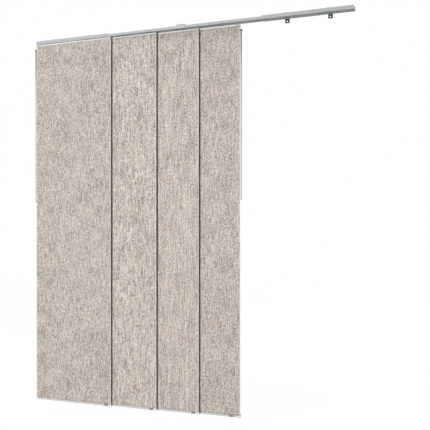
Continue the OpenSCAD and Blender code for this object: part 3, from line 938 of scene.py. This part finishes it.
def wand_finish(top):
    """Grey plastic, painted shade at the top fading to light grey, a moulded grain and handled patches."""
    material, tree, shader, where = new_material("wand_with_painted_shade", 0.40)
    height = add_node(tree, "ShaderNodeSeparateXYZ", Vector=where).outputs["Z"]
    painted_shade_share = add_node(
        tree,
        "ShaderNodeMapRange",
        {"interpolation_type": "SMOOTHSTEP"},
        Value=height,
        From_Min=top - PAINTED_SHADE_LENGTH,
        From_Max=top,
    )
    grain = place_group(tree, moulded_grain, Vector=where, Size=0.6 * MM)["Grain"]
    rubbed = place_group(tree, rub_marks, Vector=where, Size=40 * MM, Amount=0.4)["Rubbed"]
    light = mix_colours(tree, grain, shade(WAND_GREY, 0.95), shade(WAND_GREY, 1.05))
    dark = mix_colours(tree, grain, shade(WAND_PAINTED_SHADE, 0.95), shade(WAND_PAINTED_SHADE, 1.05))
    # painted shade: the rod's colour darkens towards its top
    feed(tree, shader.inputs["Base Color"], mix_colours(tree, painted_shade_share.outputs["Result"], light, dark))
    feed(tree, shader.inputs["Roughness"], times_plus(tree, rubbed, -0.15, 0.45))
    add_relief(tree, shader, grain, 0.03 * MM)
    return material


wand_with_painted_shade = wand_finish(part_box("rail_plugs_1")[0].z)
for k, wand in wands.items():
    wand["draw_wand"].data.materials.append(wand_with_painted_shade)
    wand["wand_sleeve"].data.materials.append(finishes["plug"])
    for part, slot in (("draw_wand", "moulding"), ("wand_sleeve", "plug")):
        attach(wand[part], f"panel_{k}")
print("wands on panels", list(wands))

# %% [markdown]
# ## Light and background
#
# The main light comes from the front left, so that each panel throws a narrow dark line on the next one
# where they overlap. A wide, soft source would wash those lines out, and a bare point would make them
# hard, so the lamp is a disc that is some degrees wide as seen from the blind. It stands at the height of
# the blind's middle with its beam narrowed, so the light falls off a little to the top and to the foot. A
# large, weak lamp from above lifts the upper faces of the track. An even fill comes from the world, and a
# lamp behind keeps the back readable. All of them stand well away, so that the floor sends little light
# back up. The background is white to the camera and to reflections only, so it adds no light to the object.

# %% Lights and world
KEY_HEADING_DEG = 20
KEY_HEIGHT_DEG = 1
KEY_DISTANCE = 10.0
KEY_LEVEL = 2.76
KEY_SIZE = 1.1
KEY_SPREAD_DEG = 120
TOP_HEADING_DEG = 20
TOP_HEIGHT_DEG = 62
TOP_DISTANCE = 14.0
TOP_LEVEL = 0.9
TOP_SIZE = 3.5
BACK_HEADING_DEG = 205
BACK_HEIGHT_DEG = 4
BACK_DISTANCE = 9.0
BACK_LEVEL = 2.4
BACK_SIZE = 3.0
FILL = 0.17


def add_lamp(name, heading_deg, height_deg, distance, level, size, spread_deg=180):
    """A disc lamp aimed at the blind's middle from a heading, 0 in front and positive to the left. Its
    power is pi times the distance squared times the level of light that it gives at the middle, divided
    by how much a spread of half angle h narrows it: tan(h) / (tan(h) - h)."""
    heading, height = math.radians(heading_deg), math.radians(height_deg)
    ray = Vector((
        math.sin(heading) * math.cos(height),
        math.cos(heading) * math.cos(height),
        -math.sin(height),
    ))
    data = bpy.data.lights.new(name, "AREA")
    data.shape = "DISK"
    data.size = size
    half = math.radians(spread_deg) / 2
    narrowed = math.tan(half) / (math.tan(half) - half)
    data.spread = 2 * half
    data.energy = math.pi * distance**2 * level / narrowed
    lamp = bpy.data.objects.new(name, data)
    lamp.location = (cad_box[0] + cad_box[1]) / 2 - ray * distance
    lamp.rotation_euler = ray.to_track_quat("-Z", "Y").to_euler()
    lamp.visible_camera = False
    bpy.context.scene.collection.objects.link(lamp)
    return lamp


def seen_directly(tree):
    """1 for rays from the camera, from gloss and through glass, 0 for rays that carry light."""
    rays = tree.nodes.new("ShaderNodeLightPath").outputs
    both = sum_node(tree, "MAXIMUM", rays["Is Camera Ray"], rays["Is Glossy Ray"])
    return sum_node(tree, "MAXIMUM", both, rays["Is Transmission Ray"])


def add_world():
    """White where it is seen, and an even grey fill where it gives light."""
    world = bpy.data.worlds.new("studio")
    world.use_nodes = True
    tree = world.node_tree
    background = tree.nodes["Background"]
    background.inputs["Color"].default_value = (1.0, 1.0, 1.0, 1.0)
    feed(tree, background.inputs["Strength"], times_plus(tree, seen_directly(tree), 1.0 - FILL, FILL))
    bpy.context.scene.world = world


add_lamp("key_light", KEY_HEADING_DEG, KEY_HEIGHT_DEG, KEY_DISTANCE, KEY_LEVEL, KEY_SIZE, KEY_SPREAD_DEG)
add_lamp("top_light", TOP_HEADING_DEG, TOP_HEIGHT_DEG, TOP_DISTANCE, TOP_LEVEL, TOP_SIZE)
add_lamp("back_light", BACK_HEADING_DEG, BACK_HEIGHT_DEG, BACK_DISTANCE, BACK_LEVEL, BACK_SIZE)
add_world()
levels = (KEY_LEVEL, TOP_LEVEL, BACK_LEVEL, FILL)
print("levels of light: key %.2f, top %.2f, back %.2f, fill %.2f" % levels)

# %% [markdown]
# ## The floor
#
# The blind hangs a hand's width above a pale floor. The floor has to look as white as the background and
# still take a shadow. A shader that is mostly plain white light to the camera, and for the rest an
# ordinary matt surface, does both, and to other rays it is only the matt surface.

# %% Floor
FLOOR_GAP = 80 * MM
FLOOR_HALF = 9.0
FLOOR_GREY = (0.50, 0.50, 0.50)
FLOOR_WHITE = 0.85
FLOOR_GLOW = 1.12


def add_floor():
    """A square under the panels, nearly white to the camera, with a little of its own shading."""
    low, high = cad_box
    corners = np.array([[-1, -1], [1, -1], [-1, 1], [1, 1]]) * FLOOR_HALF
    middle = np.array([(low.x + high.x) / 2, (low.y + high.y) / 2])
    points = np.column_stack([corners + middle, np.full(4, low.z - FLOOR_GAP)])
    floor = mesh_from_grids("pale_floor", points.reshape(1, 2, 2, 3)[:, ::-1])
    material, tree, shader, _ = new_material("pale_floor", 0.9)
    shader.inputs["Base Color"].default_value = shade(FLOOR_GREY, 1.0)
    glow = add_node(tree, "ShaderNodeEmission", Color=(1.0, 1.0, 1.0, 1.0), Strength=FLOOR_GLOW)
    both = tree.nodes.new("ShaderNodeMixShader")
    feed(tree, both.inputs["Fac"], sum_node(tree, "MULTIPLY", seen_directly(tree), FLOOR_WHITE))
    tree.links.new(shader.outputs[0], both.inputs[1])
    tree.links.new(glow.outputs[0], both.inputs[2])
    tree.links.new(both.outputs[0], tree.nodes["Material Output"].inputs["Surface"])
    floor.data.materials.append(material)
    return floor


floor = add_floor()
bpy.context.scene.view_settings.view_transform = "Standard"
print("floor normal up:", floor.data.polygons[0].normal.z > 0)
